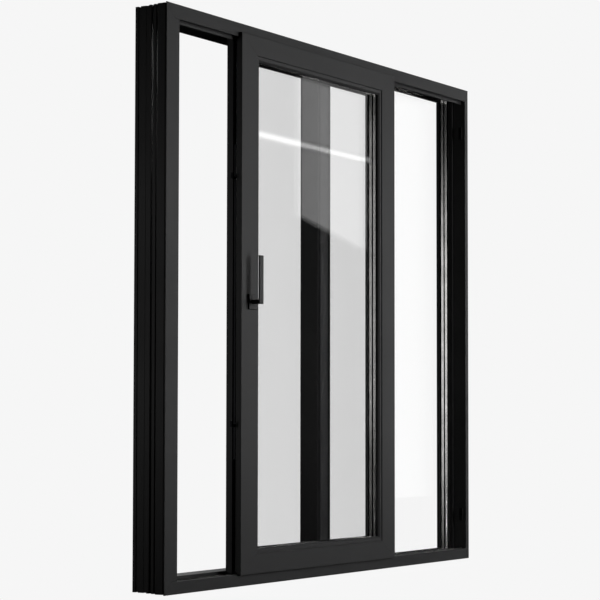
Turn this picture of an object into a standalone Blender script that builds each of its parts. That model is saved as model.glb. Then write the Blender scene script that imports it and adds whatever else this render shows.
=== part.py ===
"""Two-light horizontal sliding window in powder-coated aluminium.

The outer frame holds a fixed glazed light on the rear track, right of a fixed mullion, and one glazed
sash that rolls along the front track. Metres, +Z up, the room on the -Y side. The origin is on the frame's
room-side face, at the middle of its width and level with the bearing surface under the sill.
"""

import math

import bmesh
import bpy
from mathutils import Vector

# ---- driving dimensions -------------------------------------------------------------------------------

GAP = 0.0003                 # between two pieces that touch
MITRE_GAP = 0.00045          # between two frame members at a corner, measured upright
RUNNING_GAP = 0.001          # between a sliding piece and a fixed one

FRAME_WIDTH = 1.750
FRAME_HEIGHT = 1.500
FLANGE_LAP = 0.002           # the room-side flange stands this far past the bearing surfaces

HEAD_FACE = 0.037            # widths of the frame's room-side faces
SILL_FACE = 0.0324
JAMB_LEFT_FACE = 0.0588
JAMB_RIGHT_FACE = 0.020
HEAD_SIGHT = 0.0345          # outer edge to the fixed glass's sight line
SILL_SIGHT = 0.031
JAMB_RIGHT_SIGHT = 0.026
LEFT_SILL_SIGHT = 0.0403     # the same in the left light, on the covers that close the glazing pocket
LEFT_HEAD_SIGHT = 0.039
TRACK_FLOOR = 0.020          # outer edge to the floor of the sash's channel
FRONT_WALL = 0.004           # thickness of the channel's room-side wall
RIB = 0.003                  # partition between the sash's channel and the glazing pocket
REAR_LIP = 0.0096
CHAMBER_WALL = 0.003
OUTER_STEPS = (              # (depth, inset) where each step of the outer side starts, from the flange back
    (0.000, 0.000), (0.003, 0.0035), (0.006, FLANGE_LAP), (0.030, 0.0055), (0.034, 0.003),
    (0.043, 0.006), (0.049, 0.0035), (0.057, 0.005))
REAR_STEPS = ((0.034, 0.0045), (0.017, 0.0065), (0.010, 0.005))   # the last ones, measured from the back
SEAL_SPACE = 0.0033          # between the sash's back and the mullion
SEAL_WIDTH = 0.006

MULLION_WIDTH = 0.074
MULLION_CENTRE = 0.011       # right of the window's middle

PANE = 0.004                 # triple glazing: three panes and two spacers
CAVITY = 0.008
GLASS_BITE = 0.010           # how far the glass goes behind its sight line
EDGE_CLEARANCE = 0.002
SPACER_HEIGHT = 0.007
GASKET = 0.0021
GASKET_HEIGHT = 0.006
FIXED_BEAD = 0.0095

SASH_WIDTH = 0.875
SASH_OPENING = 0.2926        # how far the sash stands open at rest
SASH_PROUD = 0.010           # the sash's face stands this far in front of the frame's face
SASH_REAR_LIP = 0.0066       # behind the glass, up to the sash's back
SASH_FLANGE = 0.009          # thickness of the flange that laps the frame's face
SASH_HEAD_LAP = 0.0117
SASH_SILL_LAP = 0.0029
SASH_SIDE_LAP = 0.004
SASH_HEAD_CLEARANCE = 0.0015
SASH_SILL_CLEARANCE = 0.002
SASH_FACE = 0.080            # flat face of a stile
RAIL_FACE = 0.0535           # flat face of the top or bottom rail
SASH_BEAD_FACE = 0.0144
SASH_BEAD_SETBACK = 0.0023
SASH_BEAD = 0.0062
SASH_BEAD_CHAMFER = (0.0044, 0.0050)
SASH_WALL = 0.003

TRACK_Y = 0.015              # middle plane of the rail, wheels, guides and lock
GROOVE = 0.014               # width of the groove in the sash's top and bottom rails
RAIL_WEB = 0.0036
RAIL_TOP = 0.034             # above the frame's outer edge
GUIDE_WEB = 0.003
GUIDE_REACH = 0.046
RAIL_FOOT = (0.012, 0.002)

WHEEL_RADIUS = 0.012         # where the wheel meets the rail
WHEEL_RIM = 0.0020           # the flanges stand this far past it
WHEEL_WIDTH = 0.0080
AXLE_RADIUS = 0.002
CARRIAGE_LENGTH = 0.070
CARRIAGE_HEIGHT = 0.030
CARRIAGE_WALL = 0.0022
CARRIAGE_INSET = 0.150       # sash edge to the middle of a carriage

LOCK_GROOVE = 0.011
LOCK_GROOVE_DEPTH = 0.014
LOCK_BAR = 0.0025            # thickness of the bar
LOCK_BAR_LENGTH = 0.840
LOCK_BAR_SET = 0.0015        # below the stile's edge
HOOK_SPACING = 0.660
HOOK_REACH = 0.0155
HOOK = 0.006
HOOK_RISE = 0.010
LOCK_TRAVEL = 0.018
KEEPER = 0.003
KEEPER_MARGIN = 0.012

HANDLE_MARGIN = 0.0269       # handle's axis to the inner edge of the stile's flat face
HANDLE_HEIGHT = 0.7525       # the handle's axis above the origin
ROSE = (0.041, 0.0042, 0.040)
NECK = (0.0205, 0.0115)      # width and height; the lever is as wide
LEVER_THICKNESS = 0.0038
LEVER_LENGTH = 0.124
HANDLE_REACH = 0.0303
SPINDLE = 0.007
GEARBOX_PAST = 0.016         # the gearbox reaches this far past the handle's axis
GEARBOX = (0.0105, 0.088)    # thickness and height
ROSE_SCREW_RADIUS = 0.0025
ROSE_SCREW_SPACING = 0.028
ROSE_SCREW_LENGTH = 0.012

STOP_THICKNESS = 0.006
STOP_SIZE = (0.012, 0.040)
STOP_INSET = 0.140
BLOCK_LENGTH = 0.100
EDGE_RADIUS = 0.001

# ---- places that follow from them ---------------------------------------------------------------------

LEFT = -FRAME_WIDTH / 2
RIGHT = FRAME_WIDTH / 2
BOTTOM = -FLANGE_LAP
TOP = BOTTOM + FRAME_HEIGHT

GLAZING = 3 * PANE + 2 * CAVITY + 4 * GAP
SASH_FRONT = -SASH_PROUD
SASH_BEAD_Y = SASH_FRONT + SASH_BEAD_SETBACK
SASH_GASKET_Y = SASH_BEAD_Y + SASH_BEAD + GAP
SASH_GLASS_Y = SASH_GASKET_Y + GASKET + GAP
SASH_REAR_GASKET_Y = SASH_GLASS_Y + GLAZING + GAP
SASH_LIP_Y = SASH_REAR_GASKET_Y + GASKET + GAP
SASH_BEHIND = SASH_LIP_Y + SASH_REAR_LIP

RIB_FRONT = SASH_BEHIND + SEAL_SPACE
RIB_BACK = RIB_FRONT + RIB
FIXED_GASKET_Y = RIB_BACK + GAP + FIXED_BEAD + GAP
FIXED_GLASS_Y = FIXED_GASKET_Y + GASKET + GAP
FIXED_REAR_GASKET_Y = FIXED_GLASS_Y + GLAZING + GAP
LIP_FRONT = FIXED_REAR_GASKET_Y + GASKET + GAP
DEPTH = LIP_FRONT + REAR_LIP
POCKET = GLASS_BITE + EDGE_CLEARANCE

MULLION_LEFT = MULLION_CENTRE - MULLION_WIDTH / 2
MULLION_RIGHT = MULLION_CENTRE + MULLION_WIDTH / 2
FIXED_SIGHT = (MULLION_RIGHT, RIGHT - JAMB_RIGHT_SIGHT, BOTTOM + SILL_SIGHT, TOP - HEAD_SIGHT)

SASH_LEFT = LEFT + JAMB_LEFT_FACE + RUNNING_GAP - SASH_SIDE_LAP + SASH_OPENING
SASH_RIGHT = SASH_LEFT + SASH_WIDTH
SASH_BOTTOM = BOTTOM + SILL_FACE - SASH_SILL_LAP
SASH_TOP = TOP - HEAD_FACE + SASH_HEAD_LAP
SASH_BODY_BOTTOM = BOTTOM + SILL_FACE + SASH_SILL_CLEARANCE
SASH_BODY_TOP = TOP - HEAD_FACE - SASH_HEAD_CLEARANCE
SASH_SIGHT_INSET = SASH_FACE + SASH_BEAD_FACE
RAIL_SIGHT_INSET = RAIL_FACE + SASH_BEAD_FACE
SASH_SIGHT = (SASH_LEFT + SASH_SIGHT_INSET, SASH_RIGHT - SASH_SIGHT_INSET,
              SASH_BOTTOM + RAIL_SIGHT_INSET, SASH_TOP - RAIL_SIGHT_INSET)

STILE_EDGE = SASH_LEFT + SASH_SIDE_LAP
HANDLE_X = SASH_LEFT + SASH_FACE - HANDLE_MARGIN
GEARBOX_X = (STILE_EDGE + LOCK_BAR_SET + LOCK_BAR + RUNNING_GAP, HANDLE_X + GEARBOX_PAST)
RAIL_TOP_Z = BOTTOM + RAIL_TOP
AXLE_Z = RAIL_TOP_Z + GAP + WHEEL_RADIUS
GROOVE_TOP = AXLE_Z + WHEEL_RADIUS + WHEEL_RIM + CARRIAGE_WALL + RUNNING_GAP + GAP
GUIDE_FLOOR = TOP - GUIDE_REACH - RUNNING_GAP

# colour, roughness, metallic
FINISHES = {
    "powder_coat": ((0.042, 0.043, 0.045), 0.55, 0.0),
    "handle_coat": ((0.030, 0.031, 0.033), 0.45, 0.0),
    "clear_glass": ((0.80, 0.84, 0.84), 0.02, 0.0),
    "spacer_metal": ((0.62, 0.61, 0.59), 0.35, 1.0),
    "black_rubber": ((0.010, 0.010, 0.010), 0.80, 0.0),
    "black_plastic": ((0.015, 0.015, 0.016), 0.50, 0.0),
    "stainless_steel": ((0.52, 0.52, 0.51), 0.30, 1.0),
    "zinc_steel": ((0.45, 0.46, 0.47), 0.38, 1.0),
    "black_steel": ((0.045, 0.046, 0.048), 0.45, 1.0),
    "brush_pile": ((0.020, 0.020, 0.021), 0.95, 0.0),
}

# local axes of a flat outline when it is extruded along X, Y or Z
QUARTER = math.pi / 2
EXTRUSION_TURN = {"X": (QUARTER, 0, QUARTER), "Y": (QUARTER, 0, 0), "Z": (0, 0, 0)}

# ---- scene and helpers --------------------------------------------------------------------------------

for old in list(bpy.data.objects):
    bpy.data.objects.remove(old)

pieces = bpy.data.collections.new("sliding_window")
cutters = bpy.data.collections.new("cutters")
bpy.context.scene.collection.children.link(pieces)
bpy.context.scene.collection.children.link(cutters)


def finish(name):
    """The material of that name, made the first time it is asked for."""
    material = bpy.data.materials.get(name)
    if material is None:
        colour, roughness, metallic = FINISHES[name]
        material = bpy.data.materials.new(name)
        material.use_nodes = True
        shader = material.node_tree.nodes["Principled BSDF"]
        shader.inputs["Base Color"].default_value = (*colour, 1.0)
        shader.inputs["Roughness"].default_value = roughness
        shader.inputs["Metallic"].default_value = metallic
        material.diffuse_color = (*colour, 1.0)
    return material


def add_object(name, mesh, material, parent=None):
    """A piece with its own copy of a finish, or a hidden cutter if material is None."""
    piece = bpy.data.objects.new(name, mesh)
    if material is None:
        piece.hide_render = True
        piece.display_type = "WIRE"
        cutters.objects.link(piece)
        return piece
    own = finish(material).copy()
    own.name = name
    mesh.materials.append(own)
    pieces.objects.link(piece)
    if parent is not None:
        piece.parent = parent
    return piece


def axis_empty(name, place):
    """An empty on a joint's axis, which the moving pieces hang from."""
    empty = bpy.data.objects.new(name, None)
    empty.location = place
    pieces.objects.link(empty)
    bpy.context.view_layer.update()
    return empty


def box(name, low, high, material=None, parent=None):
    """A block between two corners, its origin at its middle."""
    middle = (Vector(low) + Vector(high)) / 2
    size = Vector(high) - Vector(low)
    work = bmesh.new()
    bmesh.ops.create_cube(work, size=1.0)
    bmesh.ops.scale(work, vec=size, verts=work.verts)
    mesh = bpy.data.meshes.new(name)
    work.to_mesh(mesh)
    work.free()
    piece = add_object(name, mesh, material, parent)
    piece.location = middle - (parent.location if parent is not None else Vector())
    return piece


def extruded(name, outlines, axis, low, high, material=None, parent=None):
    """Flat outlines, the first one solid and the rest holes, extruded from low to high along an axis.

    The points are (y, z) for an extrusion along X, (x, z) along Y and (x, y) along Z.
    """
    curve = bpy.data.curves.new(name, "CURVE")
    curve.dimensions = "2D"
    curve.fill_mode = "BOTH"
    curve.extrude = (high - low) / 2
    for outline in outlines:
        spline = curve.splines.new("POLY")
        spline.points.add(len(outline) - 1)
        for point, (across, up) in zip(spline.points, outline):
            point.co = (across, up, 0, 1)
        spline.use_cyclic_u = True
    shape = bpy.data.objects.new(name + "_outline", curve)
    cutters.objects.link(shape)
    shape.rotation_euler = EXTRUSION_TURN[axis]
    shape.location["XYZ".index(axis)] = (low + high) / 2
    bpy.context.view_layer.update()
    mesh = bpy.data.meshes.new_from_object(shape.evaluated_get(bpy.context.evaluated_depsgraph_get()))
    mesh.name = name
    mesh.materials.clear()
    work = bmesh.new()
    work.from_mesh(mesh)
    bmesh.ops.remove_doubles(work, verts=work.verts, dist=0.000001)
    bmesh.ops.recalc_face_normals(work, faces=work.faces)
    work.to_mesh(mesh)
    work.free()
    piece = add_object(name, mesh, material, parent)
    piece.rotation_euler = shape.rotation_euler
    piece.location = shape.location - (parent.location if parent is not None else Vector())
    bpy.data.objects.remove(shape)
    return piece


def rod(name, radius, middle, y_low, y_high, material=None, parent=None, sides=24):
    """A round bar along Y. The middle is its (x, z)."""
    work = bmesh.new()
    bmesh.ops.create_cone(work, cap_ends=True, segments=sides, radius1=radius, radius2=radius,
                          depth=y_high - y_low)
    mesh = bpy.data.meshes.new(name)
    work.to_mesh(mesh)
    work.free()
    mesh.shade_smooth()
    mesh.set_sharp_from_angle(angle=math.radians(40))
    piece = add_object(name, mesh, material, parent)
    piece.rotation_euler = EXTRUSION_TURN["Y"]
    place = Vector((middle[0], (y_low + y_high) / 2, middle[1]))
    piece.location = place - (parent.location if parent is not None else Vector())
    return piece


def combine(piece, operation, *others):
    """Cut a piece with cutters, join them to it, or keep what they share."""
    for other in others:
        modifier = piece.modifiers.new(operation.lower(), "BOOLEAN")
        modifier.operation = operation
        modifier.solver = "EXACT"
        modifier.object = other


def bevelled(piece, width, segments=2):
    """Round a piece's edges."""
    modifier = piece.modifiers.new("edges", "BEVEL")
    modifier.width = width
    modifier.segments = segments
    modifier.limit_method = "ANGLE"


def rectangle(a_low, a_high, b_low, b_high):
    return [(a_low, b_low), (a_high, b_low), (a_high, b_high), (a_low, b_high)]


def ring(name, sight, inner, outer, y_low, y_high, material, parent=None):
    """A rectangular ring round a sight line (x low, x high, z low, z high), from inner to outer past it."""
    def grown(reach):
        x_low, x_high, z_low, z_high = sight
        return rectangle(x_low - reach, x_high + reach, z_low - reach, z_high + reach)
    return extruded(name, [grown(outer), grown(inner)], "Y", y_low, y_high, material, parent)


# ---- frame members ------------------------------------------------------------------------------------

REGION_REACH = 0.120         # how far the regions that divide the corners run past the members


def outer_side():
    """(depth, inset) points of the stepped outer side, from the room-side flange to the back edge."""
    steps = list(OUTER_STEPS) + [(DEPTH - back, inset) for back, inset in REAR_STEPS]
    ends = [depth for depth, inset in steps[1:]] + [DEPTH]
    points = []
    for (start, inset), end in zip(steps, ends):
        points += [(start, inset), (end, inset)]
    return points


def track_section(face, sight):
    """(depth, inset) outline of the head or sill: channel in front, glazing pocket behind."""
    return outer_side() + [
        (DEPTH, sight), (LIP_FRONT, sight), (LIP_FRONT, sight - POCKET), (RIB_BACK, sight - POCKET),
        (RIB_BACK, sight), (RIB_FRONT, sight), (RIB_FRONT, TRACK_FLOOR), (FRONT_WALL, TRACK_FLOOR),
        (FRONT_WALL, face), (0, face)]


def jamb_right_section():
    """The right jamb: a plain face beside the channel, a glazing pocket behind."""
    sight = JAMB_RIGHT_SIGHT
    return outer_side() + [
        (DEPTH, sight), (LIP_FRONT, sight), (LIP_FRONT, sight - POCKET), (RIB_BACK, sight - POCKET),
        (RIB_BACK, sight), (RIB_FRONT, sight), (RIB_FRONT, JAMB_RIGHT_FACE), (0, JAMB_RIGHT_FACE)]


def jamb_left_section():
    """The left jamb: a wide hollow section, grooved where the lock's hooks go in."""
    low = TRACK_Y - LOCK_GROOVE / 2 - GAP
    high = TRACK_Y + LOCK_GROOVE / 2 + GAP
    groove = JAMB_LEFT_FACE - HOOK_REACH - RUNNING_GAP
    outline = outer_side() + [(DEPTH, JAMB_LEFT_FACE), (high, JAMB_LEFT_FACE), (high, groove),
                              (low, groove), (low, JAMB_LEFT_FACE), (0, JAMB_LEFT_FACE)]
    wall_inset = max(inset for depth, inset in outer_side()) + CHAMBER_WALL
    front = rectangle(CHAMBER_WALL, high, wall_inset, groove - CHAMBER_WALL)
    rear = rectangle(high + CHAMBER_WALL, DEPTH - CHAMBER_WALL, wall_inset, JAMB_LEFT_FACE - CHAMBER_WALL)
    return outline, front, rear


def upward(section, edge, sign):
    """Turn a section's insets into places measured inwards from an outer edge."""
    return [(depth, edge + sign * inset) for depth, inset in section]


def sideways(section, edge, sign):
    return [(edge + sign * inset, depth) for depth, inset in section]


def region(name, points):
    """A cutter that keeps one member's share of the corners."""
    return extruded(name, [points], "Y", -REGION_REACH, DEPTH + REGION_REACH)


def make_frame():
    reach = REGION_REACH
    corner = JAMB_RIGHT_FACE

    head = extruded("frame_head", [upward(track_section(HEAD_FACE, HEAD_SIGHT), TOP, -1)], "X",
                    LEFT, RIGHT, "powder_coat")
    combine(head, "INTERSECT", region("head_region", [
        (LEFT - reach, TOP + reach), (RIGHT + reach, TOP + reach), (RIGHT - corner - MITRE_GAP, TOP - corner),
        (RIGHT - corner - MITRE_GAP, TOP - reach), (LEFT + reach, TOP - reach)]))

    sill = extruded("frame_sill", [upward(track_section(SILL_FACE, SILL_SIGHT), BOTTOM, 1)], "X",
                    LEFT, RIGHT, "powder_coat")
    combine(sill, "INTERSECT", region("sill_region", [
        (LEFT - reach, BOTTOM - reach), (RIGHT + reach, BOTTOM - reach),
        (RIGHT - corner - MITRE_GAP, BOTTOM + corner), (RIGHT - corner - MITRE_GAP, BOTTOM + reach),
        (LEFT + reach, BOTTOM + reach)]))

    left = extruded("frame_jamb_left", [sideways(s, LEFT, 1) for s in jamb_left_section()], "Z",
                    BOTTOM, TOP, "powder_coat")
    combine(left, "INTERSECT", region("jamb_left_region", [
        (LEFT - reach, TOP + reach - MITRE_GAP), (LEFT + HEAD_FACE, TOP - HEAD_FACE - MITRE_GAP),
        (LEFT + reach, TOP - HEAD_FACE - MITRE_GAP), (LEFT + reach, BOTTOM + SILL_FACE + MITRE_GAP),
        (LEFT + SILL_FACE, BOTTOM + SILL_FACE + MITRE_GAP), (LEFT - reach, BOTTOM - reach + MITRE_GAP)]))

    right = extruded("frame_jamb_right", [sideways(jamb_right_section(), RIGHT, -1)], "Z",
                     BOTTOM, TOP, "powder_coat")
    step = corner - GAP / 2
    combine(right, "INTERSECT", region("jamb_right_region", [
        (RIGHT + reach, TOP + reach - MITRE_GAP), (RIGHT - step, TOP - step - MITRE_GAP),
        (RIGHT - step, TOP - HEAD_SIGHT - GAP), (RIGHT - reach, TOP - HEAD_SIGHT - GAP),
        (RIGHT - reach, BOTTOM + SILL_SIGHT + GAP), (RIGHT - step, BOTTOM + SILL_SIGHT + GAP),
        (RIGHT - step, BOTTOM + step + MITRE_GAP), (RIGHT + reach, BOTTOM - reach + MITRE_GAP)]))

    body = [(MULLION_LEFT, RIB_FRONT), (MULLION_RIGHT, RIB_FRONT), (MULLION_RIGHT, RIB_BACK),
            (MULLION_RIGHT - POCKET, RIB_BACK), (MULLION_RIGHT - POCKET, LIP_FRONT),
            (MULLION_RIGHT, LIP_FRONT), (MULLION_RIGHT, DEPTH), (MULLION_LEFT, DEPTH)]
    chamber = rectangle(MULLION_LEFT + CHAMBER_WALL, MULLION_RIGHT - POCKET - CHAMBER_WALL,
                        RIB_FRONT + CHAMBER_WALL, DEPTH - CHAMBER_WALL)
    extruded("mullion", [body, chamber], "Z", BOTTOM + SILL_SIGHT + GAP, TOP - HEAD_SIGHT - GAP,
             "powder_coat")


def make_pocket_covers():
    """Profiles clipped into the glazing pocket where the left light stays open."""
    low = LEFT + JAMB_LEFT_FACE + GAP
    high = MULLION_LEFT - GAP
    for name, edge, sign, sight, cap in (("sill_pocket_cover", BOTTOM, 1, SILL_SIGHT, LEFT_SILL_SIGHT),
                                         ("head_pocket_cover", TOP, -1, HEAD_SIGHT, LEFT_HEAD_SIGHT)):
        section = [(RIB_FRONT, cap), (RIB_FRONT, sight + GAP), (RIB_BACK + GAP, sight + GAP),
                   (RIB_BACK + GAP, sight - POCKET + GAP), (LIP_FRONT - GAP, sight - POCKET + GAP),
                   (LIP_FRONT - GAP, sight + GAP), (DEPTH, sight + GAP), (DEPTH, cap)]
        hollow = rectangle(RIB_BACK + GAP + CHAMBER_WALL, LIP_FRONT - GAP - CHAMBER_WALL,
                           sight - POCKET + GAP + CHAMBER_WALL / 2, sight)
        outlines = [upward(section, edge, sign), upward(hollow, edge, sign)]
        extruded(name, outlines, "X", low, high, "black_plastic")


def make_tracks():
    """The stainless rail that the wheels run on, and the guide rail above the sash."""
    foot_width, foot = RAIL_FOOT
    for name, edge, sign, web, reach, material in (
            ("running_rail", BOTTOM, 1, RAIL_WEB, RAIL_TOP, "stainless_steel"),
            ("head_guide_rail", TOP, -1, GUIDE_WEB, GUIDE_REACH, "powder_coat")):
        floor = TRACK_FLOOR + GAP
        section = [(TRACK_Y - foot_width / 2, floor), (TRACK_Y + foot_width / 2, floor),
                   (TRACK_Y + foot_width / 2, floor + foot), (TRACK_Y + web / 2, floor + foot),
                   (TRACK_Y + web / 2, reach), (TRACK_Y - web / 2, reach),
                   (TRACK_Y - web / 2, floor + foot), (TRACK_Y - foot_width / 2, floor + foot)]
        extruded(name, [upward(section, edge, sign)], "X", LEFT + JAMB_LEFT_FACE + GAP,
                 RIGHT - JAMB_RIGHT_FACE - GAP, material)


def make_glazing(prefix, sight, front, parent=None):
    """Three panes and two spacers, from the front face of the inner pane backwards."""
    x_low, x_high, z_low, z_high = sight
    y = front
    for index, place in enumerate(("inner", "middle", "outer")):
        box(f"{prefix}_pane_{place}", (x_low - GLASS_BITE, y, z_low - GLASS_BITE),
            (x_high + GLASS_BITE, y + PANE, z_high + GLASS_BITE), "clear_glass", parent)
        y += PANE + GAP
        if index < 2:
            ring(f"{prefix}_spacer_{('inner', 'outer')[index]}", sight, GLASS_BITE - SPACER_HEIGHT - GASKET,
                 GLASS_BITE - GASKET, y, y + CAVITY, "spacer_metal", parent)
            y += CAVITY + GAP


def make_fixed_light():
    make_glazing("fixed", FIXED_SIGHT, FIXED_GLASS_Y)
    ring("fixed_gasket_inner", FIXED_SIGHT, 0, GASKET_HEIGHT, FIXED_GASKET_Y, FIXED_GASKET_Y + GASKET,
         "black_rubber")
    ring("fixed_gasket_outer", FIXED_SIGHT, 0, GASKET_HEIGHT, FIXED_REAR_GASKET_Y,
         FIXED_REAR_GASKET_Y + GASKET, "black_rubber")
    x_low, x_high, z_low, z_high = FIXED_SIGHT
    seat = POCKET - GAP
    front = RIB_BACK + GAP
    back = front + FIXED_BEAD
    beads = {"bottom": (x_low - seat, x_high + seat, z_low - seat, z_low),
             "top": (x_low - seat, x_high + seat, z_high, z_high + seat),
             "left": (x_low - seat, x_low, z_low + GAP, z_high - GAP),
             "right": (x_high, x_high + seat, z_low + GAP, z_high - GAP)}
    for side, (left, right, low, high) in beads.items():
        box(f"fixed_bead_{side}", (left, front, low), (right, back, high), "black_plastic")
    quarter = (x_high - x_low) / 4
    for side, middle in (("left", x_low + quarter), ("right", x_high - quarter)):
        box(f"setting_block_{side}",
            (middle - BLOCK_LENGTH / 2, FIXED_GLASS_Y, z_low - POCKET + GAP),
            (middle + BLOCK_LENGTH / 2, FIXED_GLASS_Y + GLAZING, z_low - GLASS_BITE - GAP), "black_plastic")


def make_frame_fittings():
    """Brush seals on the mullion, end stops for the sash, and the lock's keepers."""
    for side, edge in (("left", MULLION_LEFT + SEAL_WIDTH), ("right", MULLION_RIGHT - 2 * SEAL_WIDTH)):
        box(f"mullion_brush_{side}", (edge, SASH_BEHIND + GAP, BOTTOM + SILL_SIGHT + SEAL_WIDTH),
            (edge + SEAL_WIDTH, RIB_FRONT - GAP, TOP - HEAD_SIGHT - SEAL_WIDTH), "brush_pile")
    jamb = RIGHT - JAMB_RIGHT_FACE - GAP
    stop_width, stop_height = STOP_SIZE
    for place, middle in (("lower", BOTTOM + STOP_INSET), ("upper", TOP - STOP_INSET)):
        stop = box(f"end_stop_{place}",
                   (jamb - STOP_THICKNESS, TRACK_Y - stop_width / 2, middle - stop_height / 2),
                   (jamb, TRACK_Y + stop_width / 2, middle + stop_height / 2), "black_rubber")
        bevelled(stop, EDGE_RADIUS)
    face = LEFT + JAMB_LEFT_FACE - GAP
    slot_low = HOOK / 2 + GAP + RUNNING_GAP
    slot_high = HOOK / 2 + LOCK_TRAVEL + GAP + RUNNING_GAP
    for place, middle in hook_places():
        keeper = box(f"lock_keeper_{place}",
                     (face - KEEPER, TRACK_Y - LOCK_GROOVE / 2, middle - slot_low - KEEPER_MARGIN),
                     (face, TRACK_Y + LOCK_GROOVE / 2, middle + slot_high + KEEPER_MARGIN), "stainless_steel")
        slot = box(f"keeper_slot_{place}",
                   (face - 2 * KEEPER, TRACK_Y - HOOK / 2 - RUNNING_GAP, middle - slot_low),
                   (face + KEEPER, TRACK_Y + HOOK / 2 + RUNNING_GAP, middle + slot_high))
        combine(keeper, "DIFFERENCE", slot)


def hook_places():
    return (("lower", HANDLE_HEIGHT - HOOK_SPACING / 2), ("upper", HANDLE_HEIGHT + HOOK_SPACING / 2))


# ---- sash ---------------------------------------------------------------------------------------------

def sash_section(body_inset, chamber_inset, face):
    """(depth, inset) outline of a stile or rail, and its chamber."""
    flange_back = SASH_FRONT + SASH_FLANGE
    sight = face + SASH_BEAD_FACE
    outline = [(SASH_FRONT, 0), (flange_back, 0), (flange_back, body_inset), (SASH_BEHIND, body_inset),
               (SASH_BEHIND, sight), (SASH_LIP_Y, sight), (SASH_LIP_Y, face), (SASH_FRONT, face)]
    chamber = rectangle(SASH_FRONT + SASH_WALL, SASH_LIP_Y - SASH_WALL, chamber_inset, face - SASH_WALL)
    return outline, chamber


def sash_region(name, x_out, sign):
    """A stile's share of the sash. The cut runs from the sash's corner to the corner of the flat faces,
    and on at 45 degrees to the corner of the sight lines."""
    reach = REGION_REACH
    past = reach * RAIL_FACE / SASH_FACE
    x_past, x_face, x_in = x_out - sign * reach, x_out + sign * SASH_FACE, x_out + sign * reach
    low, high = SASH_BOTTOM + MITRE_GAP, SASH_TOP - MITRE_GAP
    inner = RAIL_FACE + reach - SASH_FACE
    return region(name, [
        (x_past, low - past), (x_face, low + RAIL_FACE), (x_in, low + inner),
        (x_in, high - inner), (x_face, high - RAIL_FACE), (x_past, high + past)])


def rail_region(name, z_out, sign):
    reach = REGION_REACH
    z_past, z_face = z_out - sign * reach * RAIL_FACE / SASH_FACE, z_out + sign * RAIL_FACE
    z_in = z_face + sign * (reach - SASH_FACE)
    return region(name, [
        (SASH_LEFT - reach, z_past), (SASH_RIGHT + reach, z_past), (SASH_RIGHT - SASH_FACE, z_face),
        (SASH_RIGHT - reach, z_in), (SASH_LEFT + reach, z_in), (SASH_LEFT + SASH_FACE, z_face)])


def make_sash(slide):
    inset = SASH_SIDE_LAP + LOCK_GROOVE_DEPTH + SASH_WALL
    low, high = TRACK_Y - LOCK_GROOVE / 2, TRACK_Y + LOCK_GROOVE / 2
    guide_groove = box("guide_groove", (SASH_LEFT - REGION_REACH, TRACK_Y - GROOVE / 2, GUIDE_FLOOR),
                       (SASH_RIGHT + REGION_REACH, TRACK_Y + GROOVE / 2, TOP))
    for side, edge, sign in (("left", SASH_LEFT, 1), ("right", SASH_RIGHT, -1)):
        outlines = [sideways(s, edge, sign) for s in sash_section(SASH_SIDE_LAP, inset, SASH_FACE)]
        stile = extruded(f"sash_stile_{side}", outlines, "Z", SASH_BOTTOM, SASH_TOP, "powder_coat", slide)
        corners = sash_region(f"stile_region_{side}", edge, sign)
        combine(stile, "INTERSECT", corners)
        for end, z_low, z_high in (("top", SASH_BODY_TOP, TOP), ("bottom", BOTTOM, SASH_BODY_BOTTOM)):
            combine(stile, "DIFFERENCE", box(f"stile_{side}_{end}_trim",
                    (edge - REGION_REACH, SASH_FRONT + SASH_FLANGE, z_low),
                    (edge + REGION_REACH, DEPTH, z_high)))
        combine(stile, "DIFFERENCE", guide_groove)
        if side == "left":
            groove = box("lock_groove", (edge - REGION_REACH, low, BOTTOM),
                         (edge + SASH_SIDE_LAP + LOCK_GROOVE_DEPTH, high, TOP))
            combine(stile, "DIFFERENCE", groove, *handle_cutters())

    top_inset = SASH_TOP - GUIDE_FLOOR + SASH_WALL
    bottom_inset = GROOVE_TOP - SASH_BOTTOM + SASH_WALL
    for side, edge, sign, body, inset in (
            ("top", SASH_TOP, -1, SASH_TOP - SASH_BODY_TOP, top_inset),
            ("bottom", SASH_BOTTOM, 1, SASH_BODY_BOTTOM - SASH_BOTTOM, bottom_inset)):
        outlines = [upward(s, edge, sign) for s in sash_section(body, inset, RAIL_FACE)]
        rail = extruded(f"sash_rail_{side}", outlines, "X", SASH_LEFT, SASH_RIGHT, "powder_coat", slide)
        combine(rail, "INTERSECT", rail_region(f"rail_region_{side}", edge, sign))
        if side == "top":
            combine(rail, "DIFFERENCE", guide_groove)
        else:
            combine(rail, "DIFFERENCE", box("roller_groove",
                    (SASH_LEFT + SASH_SIGHT_INSET, TRACK_Y - GROOVE / 2, BOTTOM),
                    (SASH_RIGHT - SASH_SIGHT_INSET, TRACK_Y + GROOVE / 2, GROOVE_TOP)))


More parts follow.
